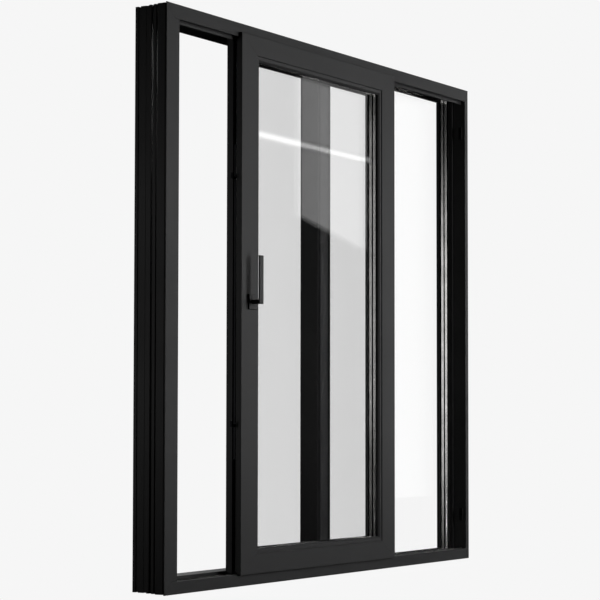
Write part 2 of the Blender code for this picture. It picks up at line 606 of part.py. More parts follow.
def make_sash_glazing(slide):
    make_glazing("sash", SASH_SIGHT, SASH_GLASS_Y, slide)
    ring("sash_gasket_inner", SASH_SIGHT, 0, GASKET_HEIGHT, SASH_GASKET_Y, SASH_GASKET_Y + GASKET,
         "black_rubber", slide)
    ring("sash_gasket_outer", SASH_SIGHT, 0, GASKET_HEIGHT, SASH_REAR_GASKET_Y, SASH_REAR_GASKET_Y + GASKET,
         "black_rubber", slide)
    chamfer_depth, chamfer_width = SASH_BEAD_CHAMFER
    seat = SASH_BEAD_FACE - GAP
    section = [(SASH_BEAD_Y, seat), (SASH_BEAD_Y + SASH_BEAD, seat), (SASH_BEAD_Y + SASH_BEAD, 0),
               (SASH_BEAD_Y + chamfer_depth, 0), (SASH_BEAD_Y, chamfer_width)]
    x_low, x_high, z_low, z_high = SASH_SIGHT
    reach = REGION_REACH
    for side, edge, sign in (("left", x_low, -1), ("right", x_high, 1)):
        bead = extruded(f"sash_bead_{side}", [sideways(section, edge, sign)], "Z", z_low - seat,
                        z_high + seat, "powder_coat", slide)
        inner, outer = edge - sign * reach, edge + sign * reach
        combine(bead, "INTERSECT", region(f"bead_region_{side}", [
            (inner, z_low + reach + MITRE_GAP), (outer, z_low - reach + MITRE_GAP),
            (outer, z_high + reach - MITRE_GAP), (inner, z_high - reach - MITRE_GAP)]))
    for side, edge, sign in (("bottom", z_low, -1), ("top", z_high, 1)):
        bead = extruded(f"sash_bead_{side}", [upward(section, edge, sign)], "X", x_low - seat, x_high + seat,
                        "powder_coat", slide)
        combine(bead, "INTERSECT", region(f"bead_region_{side}", [
            (x_low + reach, edge - sign * reach), (x_high - reach, edge - sign * reach),
            (x_high + reach, edge + sign * reach), (x_low - reach, edge + sign * reach)]))


def make_rollers(slide):
    """Two carriages in the bottom rail, each with a grooved wheel on its axle, and two guides above."""
    half_width = GROOVE / 2 - GAP
    inner = half_width - CARRIAGE_WALL
    top = GROOVE_TOP - GAP
    low = max(top - CARRIAGE_HEIGHT, RAIL_TOP_Z + RUNNING_GAP)
    for side, middle in (("left", SASH_LEFT + CARRIAGE_INSET), ("right", SASH_RIGHT - CARRIAGE_INSET)):
        ceiling = top - CARRIAGE_WALL
        section = [(TRACK_Y - half_width, low), (TRACK_Y - inner, low), (TRACK_Y - inner, ceiling),
                   (TRACK_Y + inner, ceiling), (TRACK_Y + inner, low), (TRACK_Y + half_width, low),
                   (TRACK_Y + half_width, top), (TRACK_Y - half_width, top)]
        carriage = extruded(f"roller_carriage_{side}", [section], "X", middle - CARRIAGE_LENGTH / 2,
                            middle + CARRIAGE_LENGTH / 2, "zinc_steel", slide)
        centre = (middle, AXLE_Z)
        combine(carriage, "DIFFERENCE", rod(f"axle_hole_{side}", AXLE_RADIUS + GAP, centre,
                                            TRACK_Y - GROOVE, TRACK_Y + GROOVE))
        rod(f"roller_axle_{side}", AXLE_RADIUS, centre, TRACK_Y - half_width, TRACK_Y + half_width,
            "stainless_steel", slide)
        make_wheel(f"roller_wheel_{side}", centre)
        guide = [(TRACK_Y - half_width, GUIDE_FLOOR + GAP), (TRACK_Y + half_width, GUIDE_FLOOR + GAP),
                 (TRACK_Y + half_width, SASH_BODY_TOP), (TRACK_Y + GUIDE_WEB / 2 + GAP, SASH_BODY_TOP),
                 (TRACK_Y + GUIDE_WEB / 2 + GAP, TOP - GUIDE_REACH - GAP),
                 (TRACK_Y - GUIDE_WEB / 2 - GAP, TOP - GUIDE_REACH - GAP),
                 (TRACK_Y - GUIDE_WEB / 2 - GAP, SASH_BODY_TOP), (TRACK_Y - half_width, SASH_BODY_TOP)]
        extruded(f"top_guide_{side}", [guide], "X", middle - CARRIAGE_LENGTH / 2,
                 middle + CARRIAGE_LENGTH / 2, "black_plastic", slide)


def make_wheel(name, centre):
    """A wheel turned from its half section, running round Y, with a groove that rides on the rail."""
    rim = WHEEL_RADIUS + WHEEL_RIM
    bore = AXLE_RADIUS + GAP
    half = WHEEL_WIDTH / 2
    groove = RAIL_WEB / 2 + GAP
    section = [(bore, half), (rim, half), (rim, groove + WHEEL_RIM / 2), (WHEEL_RADIUS, groove),
               (WHEEL_RADIUS, -groove), (rim, -groove - WHEEL_RIM / 2), (rim, -half), (bore, -half)]
    mesh = bpy.data.meshes.new(name)
    work = bmesh.new()
    corners = [work.verts.new((x, 0, z)) for x, z in section]
    for first, second in zip(corners, corners[1:] + corners[:1]):
        work.edges.new((first, second))
    work.to_mesh(mesh)
    work.free()
    axle = axis_empty(name + "_axis", (centre[0], TRACK_Y, centre[1]))
    wheel = add_object(name, mesh, "black_plastic", axle)
    wheel.rotation_euler = EXTRUSION_TURN["Y"]
    turn = wheel.modifiers.new("turned", "SCREW")
    turn.steps = 48
    turn.render_steps = 48
    turn.use_merge_vertices = True
    turn.merge_threshold = 0.00001
    turn.use_smooth_shade = False


# ---- lock and handle ----------------------------------------------------------------------------------

def handle_cutters():
    """Holes in the left stile for the spindle, the rose's screws and the lock's gearbox."""
    height = GEARBOX[1]
    front = SASH_FRONT - ROSE[1]
    holes = [rod("spindle_hole", SPINDLE, (HANDLE_X, HANDLE_HEIGHT), front, TRACK_Y)]
    for place, z in rose_screws():
        holes.append(rod(f"rose_screw_hole_{place}", ROSE_SCREW_RADIUS + GAP, (HANDLE_X, z), front,
                         SASH_FRONT + ROSE_SCREW_LENGTH + RUNNING_GAP))
    pocket = box("gearbox_pocket", (STILE_EDGE, TRACK_Y - LOCK_GROOVE / 2, HANDLE_HEIGHT - height / 2 - GAP),
                 (GEARBOX_X[1] + GAP, TRACK_Y + LOCK_GROOVE / 2, HANDLE_HEIGHT + height / 2 + GAP))
    return [*holes, pocket]


def rose_screws():
    return (("lower", HANDLE_HEIGHT - ROSE_SCREW_SPACING / 2),
            ("upper", HANDLE_HEIGHT + ROSE_SCREW_SPACING / 2))


def make_lock(slide):
    """The gearbox in the stile, and the flat bar with two hooks that it drives upwards."""
    thickness, height = GEARBOX
    gearbox = box("lock_gearbox", (GEARBOX_X[0], TRACK_Y - thickness / 2, HANDLE_HEIGHT - height / 2),
                  (GEARBOX_X[1], TRACK_Y + thickness / 2, HANDLE_HEIGHT + height / 2), "zinc_steel", slide)
    combine(gearbox, "DIFFERENCE", rod("gearbox_hole", SPINDLE * math.sqrt(0.5) + GAP,
                                       (HANDLE_X, HANDLE_HEIGHT), TRACK_Y - thickness, TRACK_Y + thickness))
    x_low = STILE_EDGE + LOCK_BAR_SET
    x_high = x_low + LOCK_BAR
    z_low = HANDLE_HEIGHT - LOCK_BAR_LENGTH / 2
    z_high = HANDLE_HEIGHT + LOCK_BAR_LENGTH / 2
    tip = STILE_EDGE - HOOK_REACH
    outline = [(x_low, z_low), (x_high, z_low), (x_high, z_high), (x_low, z_high)]
    for _, z in reversed(hook_places()):
        outline += [(x_low, z + HOOK / 2), (tip + HOOK, z + HOOK / 2), (tip + HOOK, z + HOOK / 2 + HOOK_RISE),
                    (tip, z + HOOK / 2 + HOOK_RISE), (tip, z - HOOK / 2), (x_low, z - HOOK / 2)]
    axis = axis_empty("lock_bar_axis", (x_low, TRACK_Y, HANDLE_HEIGHT))
    extruded("lock_bar", [outline], "Y", TRACK_Y - HOOK / 2, TRACK_Y + HOOK / 2, "black_steel", axis)


def make_handle(slide):
    """The rose and its screws stay with the sash. The lever and its spindle turn."""
    width, thickness, height = ROSE
    back = SASH_FRONT - GAP
    front = back - thickness
    rose = box("handle_rose", (HANDLE_X - width / 2, front, HANDLE_HEIGHT - height / 2),
               (HANDLE_X + width / 2, back, HANDLE_HEIGHT + height / 2), "handle_coat", slide)
    bevelled(rose, EDGE_RADIUS)
    hole = rod("rose_hole", SPINDLE * math.sqrt(0.5) + GAP, (HANDLE_X, HANDLE_HEIGHT), front - thickness,
               SASH_FRONT + thickness)
    combine(rose, "DIFFERENCE", hole)
    for place, z in rose_screws():
        screw = rod(f"rose_screw_{place}", ROSE_SCREW_RADIUS, (HANDLE_X, z), SASH_FRONT - thickness / 2,
                    SASH_FRONT + ROSE_SCREW_LENGTH, "zinc_steel", slide)
        blind = rod(f"rose_blind_hole_{place}", ROSE_SCREW_RADIUS + GAP, (HANDLE_X, z),
                    SASH_FRONT - thickness / 2 - GAP, SASH_FRONT + thickness)
        combine(rose, "DIFFERENCE", blind)
    axis = axis_empty("handle_axis", (HANDLE_X, front, HANDLE_HEIGHT))
    tip = SASH_FRONT - HANDLE_REACH
    width, neck = NECK[0], NECK[1] / 2
    profile = [(tip, -neck), (front - GAP, -neck), (front - GAP, neck), (tip + LEVER_THICKNESS, neck),
               (tip + LEVER_THICKNESS, LEVER_LENGTH), (tip, LEVER_LENGTH)]
    lever = extruded("handle_lever", [[(y, HANDLE_HEIGHT + z) for y, z in profile]], "X", HANDLE_X - width / 2,
                     HANDLE_X + width / 2, "handle_coat", axis)
    bevelled(lever, EDGE_RADIUS)
    box("handle_spindle", (HANDLE_X - SPINDLE / 2, front, HANDLE_HEIGHT - SPINDLE / 2),
        (HANDLE_X + SPINDLE / 2, TRACK_Y + LOCK_GROOVE / 2 - GAP, HANDLE_HEIGHT + SPINDLE / 2),
        "zinc_steel", axis)


make_frame()
make_pocket_covers()
make_tracks()
make_fixed_light()
make_frame_fittings()
sash_slide = axis_empty("sash_slide", (SASH_LEFT + SASH_WIDTH / 2, TRACK_Y, RAIL_TOP_Z))
make_sash(sash_slide)
make_sash_glazing(sash_slide)
make_rollers(sash_slide)
make_lock(sash_slide)
make_handle(sash_slide)
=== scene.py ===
import math
import random

import bmesh
import bpy
from mathutils import Matrix, Vector


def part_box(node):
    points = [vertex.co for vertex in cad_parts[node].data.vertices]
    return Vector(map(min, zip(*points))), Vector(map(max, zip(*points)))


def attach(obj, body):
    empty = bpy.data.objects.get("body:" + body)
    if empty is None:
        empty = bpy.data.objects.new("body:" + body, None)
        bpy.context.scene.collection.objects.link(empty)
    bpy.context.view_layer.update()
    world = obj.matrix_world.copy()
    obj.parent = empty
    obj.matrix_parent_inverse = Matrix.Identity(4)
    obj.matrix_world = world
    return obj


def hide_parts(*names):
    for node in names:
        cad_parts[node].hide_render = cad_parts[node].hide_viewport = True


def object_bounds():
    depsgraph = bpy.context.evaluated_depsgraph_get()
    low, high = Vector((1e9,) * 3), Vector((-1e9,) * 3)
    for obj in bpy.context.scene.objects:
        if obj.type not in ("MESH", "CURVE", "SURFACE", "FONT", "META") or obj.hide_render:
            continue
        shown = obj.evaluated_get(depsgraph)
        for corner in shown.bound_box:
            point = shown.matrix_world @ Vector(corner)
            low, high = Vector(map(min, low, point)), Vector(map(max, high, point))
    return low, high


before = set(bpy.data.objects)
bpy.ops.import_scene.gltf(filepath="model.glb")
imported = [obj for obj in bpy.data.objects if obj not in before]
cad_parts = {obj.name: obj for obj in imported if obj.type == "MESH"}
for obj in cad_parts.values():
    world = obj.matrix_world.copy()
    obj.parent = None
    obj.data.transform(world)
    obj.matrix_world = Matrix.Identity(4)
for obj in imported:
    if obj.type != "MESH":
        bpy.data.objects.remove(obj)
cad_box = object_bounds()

# ---- Outer frame: head, sill and jambs ----------------------------------------------------------------
# Four aluminium extrusions, mitred and crimped to corner cleats. They are powder coated dark anthracite
# before they are put together, and every edge that the die leaves is slightly round.

MERGE = 0.00001              # points closer than this are one point
SHARP = math.radians(25)     # an edge that turns more than this is rounded
MITRE = 0.3                  # a face that leans this much both ways across the window is a mitre's cut
FRAME_EDGE = 0.0006
COAT_COLOUR = (0.0470, 0.0475, 0.0490)
COAT_WORN = (0.090, 0.090, 0.092)
COAT_ROUGHNESS = 0.50
COAT_GRAIN = (0.0011, 0.00006)          # size and depth of the orange peel
DUST_COLOUR = (0.16, 0.155, 0.145)
DUST_SHARE = 0.12


def add_node(tree, kind, settings, inputs):
    """A shader node with its settings, and its inputs as values or as another node's output."""
    made = tree.nodes.new(kind)
    for name, value in settings.items():
        setattr(made, name, value)
    for name, value in inputs.items():
        if isinstance(value, bpy.types.NodeSocket):
            tree.links.new(value, made.inputs[name])
        else:
            made.inputs[name].default_value = value
    return made


def maths(tree, operation, *values):
    return add_node(tree, "ShaderNodeMath", {"operation": operation}, dict(enumerate(values))).outputs[0]


def ranged(tree, value, low, high, to_low=0.0, to_high=1.0):
    """The value, mapped from one range to another and held inside it."""
    inputs = {"Value": value, "From Min": low, "From Max": high, "To Min": to_low, "To Max": to_high}
    return add_node(tree, "ShaderNodeMapRange", {"clamp": True}, inputs).outputs[0]


def blended(tree, share, first, second):
    """The second colour laid over the first. A colour is a node's output or three numbers."""
    first, second = (c if isinstance(c, bpy.types.NodeSocket) else (*c, 1.0) for c in (first, second))
    return add_node(tree, "ShaderNodeMix", {"data_type": "RGBA"}, {0: share, 6: first, 7: second}).outputs[2]


def noise(tree, place, size, detail):
    """A soft random pattern. Its lumps are about that size in metres, a number or a socket."""
    inputs = {"Vector": place, "Scale": maths(tree, "DIVIDE", 1.0, size), "Detail": detail}
    return add_node(tree, "ShaderNodeTexNoise", {}, inputs).outputs[0]


def object_place(tree):
    return tree.nodes.new("ShaderNodeTexCoord").outputs["Object"]


def new_group(name, inputs, outputs):
    """An empty node group with number inputs, given as {name: value}, and number outputs."""
    tree = bpy.data.node_groups.new(name, "ShaderNodeTree")
    for socket, value in inputs.items():
        made = tree.interface.new_socket(socket, in_out="INPUT", socket_type="NodeSocketFloat")
        made.default_value = value
    for socket in outputs:
        tree.interface.new_socket(socket, in_out="OUTPUT", socket_type="NodeSocketFloat")
    return tree, tree.nodes.new("NodeGroupInput").outputs, tree.nodes.new("NodeGroupOutput").inputs


def edge_wear_group():
    """1 where the surface turns over an edge and handling has rubbed it, in patches."""
    tree, given, made = new_group("edge wear", {"Radius": 0.0012, "Patch Size": 0.02}, ["Mask"])
    face = tree.nodes.new("ShaderNodeNewGeometry").outputs["True Normal"]
    soft = add_node(tree, "ShaderNodeBevel", {"samples": 4}, {"Radius": given["Radius"]}).outputs[0]
    same = add_node(tree, "ShaderNodeVectorMath", {"operation": "DOT_PRODUCT"}, {0: face, 1: soft})
    turn = ranged(tree, maths(tree, "SUBTRACT", 1.0, same.outputs["Value"]), 0.02, 0.25)
    patches = ranged(tree, noise(tree, object_place(tree), given["Patch Size"], 4.0), 0.42, 0.62)
    tree.links.new(maths(tree, "MULTIPLY", turn, patches), made["Mask"])
    return tree


def surface_grain_group():
    """The skin of a coated or moulded surface: its bumps, grit, and how its tone drifts over a length."""
    tree, given, made = new_group("surface grain", {"Grain Size": 0.001, "Drift Size": 0.2},
                                  ["Height", "Grit", "Tone"])
    place = object_place(tree)
    fine = maths(tree, "DIVIDE", 1.0, given["Grain Size"])
    specks = add_node(tree, "ShaderNodeTexVoronoi", {}, {"Vector": place, "Scale": fine}).outputs["Distance"]
    tree.links.new(noise(tree, place, given["Grain Size"], 2.0), made["Height"])
    tree.links.new(ranged(tree, specks, 0.25, 0.05), made["Grit"])
    tree.links.new(noise(tree, place, given["Drift Size"], 3.0), made["Tone"])
    return tree


def settled_dust_group():
    """Thin dust on what faces upwards, gathered in clouds."""
    tree, given, made = new_group("settled dust", {"Cloud Size": 0.05}, ["Mask"])
    face = tree.nodes.new("ShaderNodeNewGeometry").outputs["True Normal"]
    upward = ranged(tree, add_node(tree, "ShaderNodeSeparateXYZ", {}, {0: face}).outputs["Z"], 0.6, 0.95)
    clouds = ranged(tree, noise(tree, object_place(tree), given["Cloud Size"], 5.0), 0.35, 0.70)
    tree.links.new(maths(tree, "MULTIPLY", upward, clouds), made["Mask"])
    return tree


EDGE_WEAR = edge_wear_group()
SURFACE_GRAIN = surface_grain_group()
SETTLED_DUST = settled_dust_group()


def placed_group(tree, group, values):
    return add_node(tree, "ShaderNodeGroup", {"node_tree": group}, values).outputs


def new_material(name):
    material = bpy.data.materials.new(name)
    material.use_nodes = True
    return material, material.node_tree, material.node_tree.nodes["Principled BSDF"]


def bumped(tree, shader, height, strength, depth):
    bump = add_node(tree, "ShaderNodeBump", {}, {"Height": height, "Strength": strength, "Distance": depth})
    tree.links.new(bump.outputs[0], shader.inputs["Normal"])


def coated(name, colour, worn, roughness, grain, dust):
    """Baked coating: orange-peel skin, a tone that drifts over the length, rubbed edges, a little dust."""
    material, tree, shader = new_material(name)
    skin = placed_group(tree, SURFACE_GRAIN, {"Grain Size": grain[0], "Drift Size": 0.25})
    rubbed = placed_group(tree, EDGE_WEAR, {"Radius": 0.0012, "Patch Size": 0.018})["Mask"]
    settled = placed_group(tree, SETTLED_DUST, {"Cloud Size": 0.05})["Mask"]
    base = blended(tree, skin["Tone"], tuple(0.93 * c for c in colour), tuple(1.07 * c for c in colour))
    base = blended(tree, maths(tree, "MULTIPLY", skin["Grit"], 0.12), base, worn)
    base = blended(tree, maths(tree, "MULTIPLY", rubbed, 0.35), base, worn)
    base = blended(tree, maths(tree, "MULTIPLY", settled, dust), base, DUST_COLOUR)
    tree.links.new(base, shader.inputs["Base Color"])
    shine = ranged(tree, skin["Tone"], 0.3, 0.7, roughness - 0.04, roughness + 0.04)
    shine = maths(tree, "SUBTRACT", shine, maths(tree, "MULTIPLY", rubbed, 0.12))
    tree.links.new(shine, shader.inputs["Roughness"])
    bumped(tree, shader, skin["Height"], 0.35, grain[1])
    return material


def to_piece(work, name, material, body, slot, *stands_for):
    """Ends a mesh as a finished piece that rides on its body and wears the given material. The slot is not
    used.
    """
    mesh = bpy.data.meshes.new(name)
    work.to_mesh(mesh)
    work.free()
    mesh.materials.append(material)
    piece = bpy.data.objects.new(name, mesh)
    bpy.context.scene.collection.objects.link(piece)
    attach(piece, body)
    if stands_for:
        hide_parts(*stands_for)
    return piece


def cad_copy(node):
    """A merged copy of a CAD node's mesh, its flat sides single faces again."""
    work = bmesh.new()
    work.from_mesh(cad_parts[node].data)
    bmesh.ops.remove_doubles(work, verts=work.verts, dist=MERGE)
    bmesh.ops.dissolve_limit(work, angle_limit=math.radians(1), verts=work.verts, edges=work.edges)
    for face in work.faces:
        face.smooth = False
    return work


def face_width(face):
    """About the width of a long face."""
    return 2 * face.calc_area() / face.calc_perimeter()


def rounded(work, width, segments=3):
    """Rounds the sharp edges, but not the saw cuts of a mitre, nor the edges of a face too narrow for it."""
    kept = {face for face in work.faces
            if face_width(face) < 1.2 * width or min(abs(face.normal.x), abs(face.normal.z)) > MITRE}
    edges = [edge for edge in work.edges
             if edge.is_manifold and edge.calc_face_angle() > SHARP and edge.calc_length() > 4 * width
             and not kept.intersection(edge.link_faces)]
    made = bmesh.ops.bevel(work, geom=edges, offset=width, offset_type="OFFSET", segments=segments,
                           profile=0.5, affect="EDGES", clamp_overlap=True, material=-1)
    for face in made["faces"]:
        face.smooth = True
    return work


def cad_piece(node, edge, ending, finish, body, slot, segments=3):
    """A CAD node's own shape with its sharp edges rounded, ended as a piece named after it."""
    to_piece(rounded(cad_copy(node), edge, segments), node + ending, finish, body, slot, node)


powder_coat = coated("powder_coat", COAT_COLOUR, COAT_WORN, COAT_ROUGHNESS, COAT_GRAIN, DUST_SHARE)
for member in ("frame_head", "frame_sill", "frame_jamb_left", "frame_jamb_right"):
    cad_piece(member, FRAME_EDGE, "_profile", powder_coat, "frame", "powder_coat")

# ---- Thermal breaks ------------------------------------------------------------------------------------
# Ribbed polyamide strips, black, rolled into the grooves between the room-side and outside halves of the
# frame. They show only where the frame's outer side is bare, before it goes into the wall.

BREAKS = {"front": (0.0305, 0.0335, 0.0054, 2),          # from and to what depth, inset, ribs
          "rear": (0.0433, 0.0487, 0.0059, 3)}
BREAK_BASE = 0.0004
BREAK_RIB = 0.0006
PLASTIC_COLOUR = (0.013, 0.013, 0.014)
PLASTIC_GREYED = (0.030, 0.030, 0.031)
PLASTIC_GRAIN = (0.0007, 0.00004)


def moulded(name, colour, roughness, grain, greyed):
    """Moulded or extruded plastic or rubber: a fine matt skin, paler where it is rubbed or has bloomed."""
    material, tree, shader = new_material(name)
    skin = placed_group(tree, SURFACE_GRAIN, {"Grain Size": grain[0], "Drift Size": 0.06})
    rubbed = placed_group(tree, EDGE_WEAR, {"Radius": 0.0008, "Patch Size": 0.012})["Mask"]
    base = blended(tree, maths(tree, "MULTIPLY", skin["Tone"], 0.3), colour, greyed)
    base = blended(tree, maths(tree, "MULTIPLY", rubbed, 0.4), base, greyed)
    tree.links.new(base, shader.inputs["Base Color"])
    shine = ranged(tree, skin["Tone"], 0.3, 0.7, roughness - 0.06, roughness + 0.06)
    tree.links.new(shine, shader.inputs["Roughness"])
    bumped(tree, shader, skin["Height"], 0.3, grain[1])
    return material


def arc(middle, radius, start, end, steps):
    """Points on a round stretch, from one angle in degrees to another."""
    turns = [math.radians(start + (end - start) * step / steps) for step in range(steps + 1)]
    return [(middle[0] + radius * math.cos(turn), middle[1] + radius * math.sin(turn)) for turn in turns]


def swept_ring(section, rectangle):
    """A closed section of (outward, depth) points carried round a rectangle, its corners mitred."""
    x_low, x_high, z_low, z_high = rectangle
    corners = [(x_low, z_low, -1, -1), (x_high, z_low, 1, -1), (x_high, z_high, 1, 1),
               (x_low, z_high, -1, 1)]
    work = bmesh.new()
    x, z, x_way, z_way = corners[0]
    points = [work.verts.new((x + x_way * out, depth, z + z_way * out)) for out, depth in section]
    edges = [work.edges.new(pair) for pair in zip(points, points[1:] + points[:1])]
    for next_x, next_z, next_x_way, next_z_way in corners[1:] + corners[:1]:
        grown = bmesh.ops.extrude_edge_only(work, edges=edges)["geom"]
        edges = [item for item in grown if isinstance(item, bmesh.types.BMEdge)]
        for vert in (item for item in grown if isinstance(item, bmesh.types.BMVert)):
            out = (vert.co.x - x) * x_way
            vert.co = (next_x + next_x_way * out, vert.co.y, next_z + next_z_way * out)
        x, z, x_way, z_way = next_x, next_z, next_x_way, next_z_way
    bmesh.ops.remove_doubles(work, verts=work.verts, dist=MERGE)
    bmesh.ops.recalc_face_normals(work, faces=work.faces)
    return work


def smooth_narrow(work, width):
    """Shades the narrow faces of its round stretches smooth, and leaves the flats flat."""
    for face in work.faces:
        face.smooth = face_width(face) < width
    return work


black_plastic = moulded("black_plastic", PLASTIC_COLOUR, 0.52, PLASTIC_GRAIN, PLASTIC_GREYED)
outer_edge = (cad_box[0].x, cad_box[1].x, cad_box[0].z, cad_box[1].z)
for name, (front, back, inset, ribs) in BREAKS.items():
    section = [(-inset, front), (-inset + BREAK_BASE, front)]
    for rib in range(ribs):
        middle = front + (rib + 0.5) * (back - front) / ribs
        section += arc((-inset + BREAK_BASE, middle), BREAK_RIB, -90, 90, 4)
    section += [(-inset + BREAK_BASE, back), (-inset, back)]
    ring = smooth_narrow(swept_ring(section, outer_edge), BREAK_RIB)
    to_piece(ring, "thermal_break_" + name, black_plastic, "frame", "black_plastic")

# ---- Frame fixings -------------------------------------------------------------------------------------
# The screws that hold the left jamb to the wall go in through its reveal. Round snap-in caps of black
# plastic close their holes.

CAP_RADIUS = 0.0065
CAP_RISE = 0.0009
CAP_CROWN = 1.15 * CAP_RISE
CAP_DEPTH_IN_REVEAL = 0.070
CAP_INSET = 0.200


def turned(profile, place, direction, steps=32):
    """A shape turned from (radius, height) points round an axis that starts at a place."""
    work = bmesh.new()
    points = [work.verts.new((radius, 0, height)) for radius, height in profile]
    edges = [work.edges.new(pair) for pair in zip(points, points[1:])]
    bmesh.ops.spin(work, geom=points + edges, cent=(0, 0, 0), axis=(0, 0, 1), angle=math.tau,
                   steps=steps, use_merge=True)
    bmesh.ops.remove_doubles(work, verts=work.verts, dist=MERGE)
    bmesh.ops.recalc_face_normals(work, faces=work.faces)
    turn = Vector(direction).to_track_quat("Z", "Y").to_matrix().to_4x4()
    bmesh.ops.transform(work, matrix=Matrix.Translation(place) @ turn, verts=work.verts)
    return work


cap_profile = [(0, -CAP_RISE), (CAP_RADIUS, -CAP_RISE)]
cap_profile += arc((CAP_RADIUS - CAP_RISE, 0), CAP_RISE, 0, 90, 5)
cap_profile += [(0, CAP_CROWN)]
low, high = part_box("frame_jamb_left")
for place, height in (("lower", low.z + CAP_INSET), ("middle", (low.z + high.z) / 2),
                      ("upper", high.z - CAP_INSET)):
    cap = smooth_narrow(turned(cap_profile, (high.x, CAP_DEPTH_IN_REVEAL, height), (1, 0, 0)), 0.002)
    to_piece(cap, "fixing_cap_" + place, black_plastic, "frame", "black_plastic")

# ---- Mullion -------------------------------------------------------------------------------------------
# The upright that parts the open light from the fixed one: an aluminium hollow section, coated like the
# frame, that stands between the head and the sill and is screwed to them from behind.

cad_piece("mullion", FRAME_EDGE, "_profile", powder_coat, "frame", "powder_coat")

# ---- Brush seals ---------------------------------------------------------------------------------------
# Two strips of siliconised polypropylene pile, woven to a flat backing that slides into the mullion's
# front. They brush the back of the sash and keep the draught out.

BACKING = 0.0008
TUFT_PITCH = 0.0024
TUFT_ROWS = 3
TUFT_RADIUS = 0.0009
TUFT_LEAN = 0.0006
PILE_COLOUR = (0.018, 0.018, 0.019)
PILE_TIPS = (0.050, 0.050, 0.052)


def pile_material():
    """Dark fibres, each a little lighter or darker than the next, with a faint sheen."""
    material, tree, shader = new_material("brush_pile")
    fibres = noise(tree, object_place(tree), 0.0008, 3.0)
    tree.links.new(blended(tree, fibres, PILE_COLOUR, PILE_TIPS), shader.inputs["Base Color"])
    tree.links.new(ranged(tree, fibres, 0.2, 0.8, 0.80, 0.95), shader.inputs["Roughness"])
    shader.inputs["Sheen Weight"].default_value = 0.15
    bumped(tree, shader, fibres, 0.4, 0.0002)
    return material


brush_pile = pile_material()
lie_flat = Matrix.Rotation(math.radians(90), 4, "X")
draw = random.Random(11)
for side in ("left", "right"):
    low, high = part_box("mullion_brush_" + side)
    work = bmesh.new()
    bmesh.ops.create_cube(work, size=1.0)
    bmesh.ops.scale(work, vec=(high.x - low.x, BACKING, high.z - low.z), verts=work.verts)
    centre = ((low.x + high.x) / 2, high.y - BACKING / 2, (low.z + high.z) / 2)
    bmesh.ops.translate(work, vec=centre, verts=work.verts)
    pile = high.y - BACKING - low.y
    depth = high.y - BACKING - pile / 2
    for row in range(TUFT_ROWS):
        x = low.x + (row + 0.5) / TUFT_ROWS * (high.x - low.x)
        for index in range(int((high.z - low.z) / TUFT_PITCH)):
            z = low.z + (index + 0.5) * TUFT_PITCH + draw.uniform(-TUFT_LEAN, TUFT_LEAN)
            place = Matrix.Translation((x + draw.uniform(-TUFT_LEAN, TUFT_LEAN), depth, z))
            bmesh.ops.create_cone(work, cap_ends=True, segments=4, radius1=TUFT_RADIUS / 2,
                                  radius2=TUFT_RADIUS, depth=pile, matrix=place @ lie_flat)
    to_piece(work, "brush_seal_" + side, brush_pile, "frame", "brush_pile", "mullion_brush_" + side)

# ---- Pocket covers -------------------------------------------------------------------------------------
# Black PVC profiles that clip into the frame's glazing pocket where the left light stays open, so that
# head and sill are closed there.

COVER_EDGE = 0.0005
for node in ("sill_pocket_cover", "head_pocket_cover"):
    cad_piece(node, COVER_EDGE, "_profile", black_plastic, "frame", "black_plastic")

# ---- Rails ---------------------------------------------------------------------------------------------
# The wheels run on a stainless steel rail with a round head, pressed over a rib of the sill. A coated
# aluminium guide rail hangs from the head and keeps the sash upright.

RAIL_FOOT_THICKNESS = 0.0020
RAIL_WEB = 0.0036
STEEL_COLOUR = (0.46, 0.46, 0.455)
STEEL_TARNISHED = (0.38, 0.375, 0.36)
METAL_EDGE = 0.0004
LINE_SIZE = {"Line Width": 0.0004, "Line Length": 0.08}


def drawn_lines_group():
    """Fine lines left by rolling or drawing: slow along the bar, quick across its depth."""
    tree, given, made = new_group("drawn lines", LINE_SIZE, ["Height", "Tone"])
    across = maths(tree, "DIVIDE", 1.0, given["Line Width"])
    along = maths(tree, "DIVIDE", 1.0, given["Line Length"])
    scale = add_node(tree, "ShaderNodeCombineXYZ", {}, {"X": along, "Y": across, "Z": along}).outputs[0]
    place = object_place(tree)
    drawn = add_node(tree, "ShaderNodeVectorMath", {"operation": "MULTIPLY"}, {0: place, 1: scale})
    lines = noise(tree, drawn.outputs[0], 1.0, 4.0)
    clouds = noise(tree, place, 0.05, 2.0)
    tree.links.new(lines, made["Height"])
    tree.links.new(maths(tree, "MULTIPLY", maths(tree, "ADD", lines, clouds), 0.5), made["Tone"])
    return tree


DRAWN_LINES = drawn_lines_group()


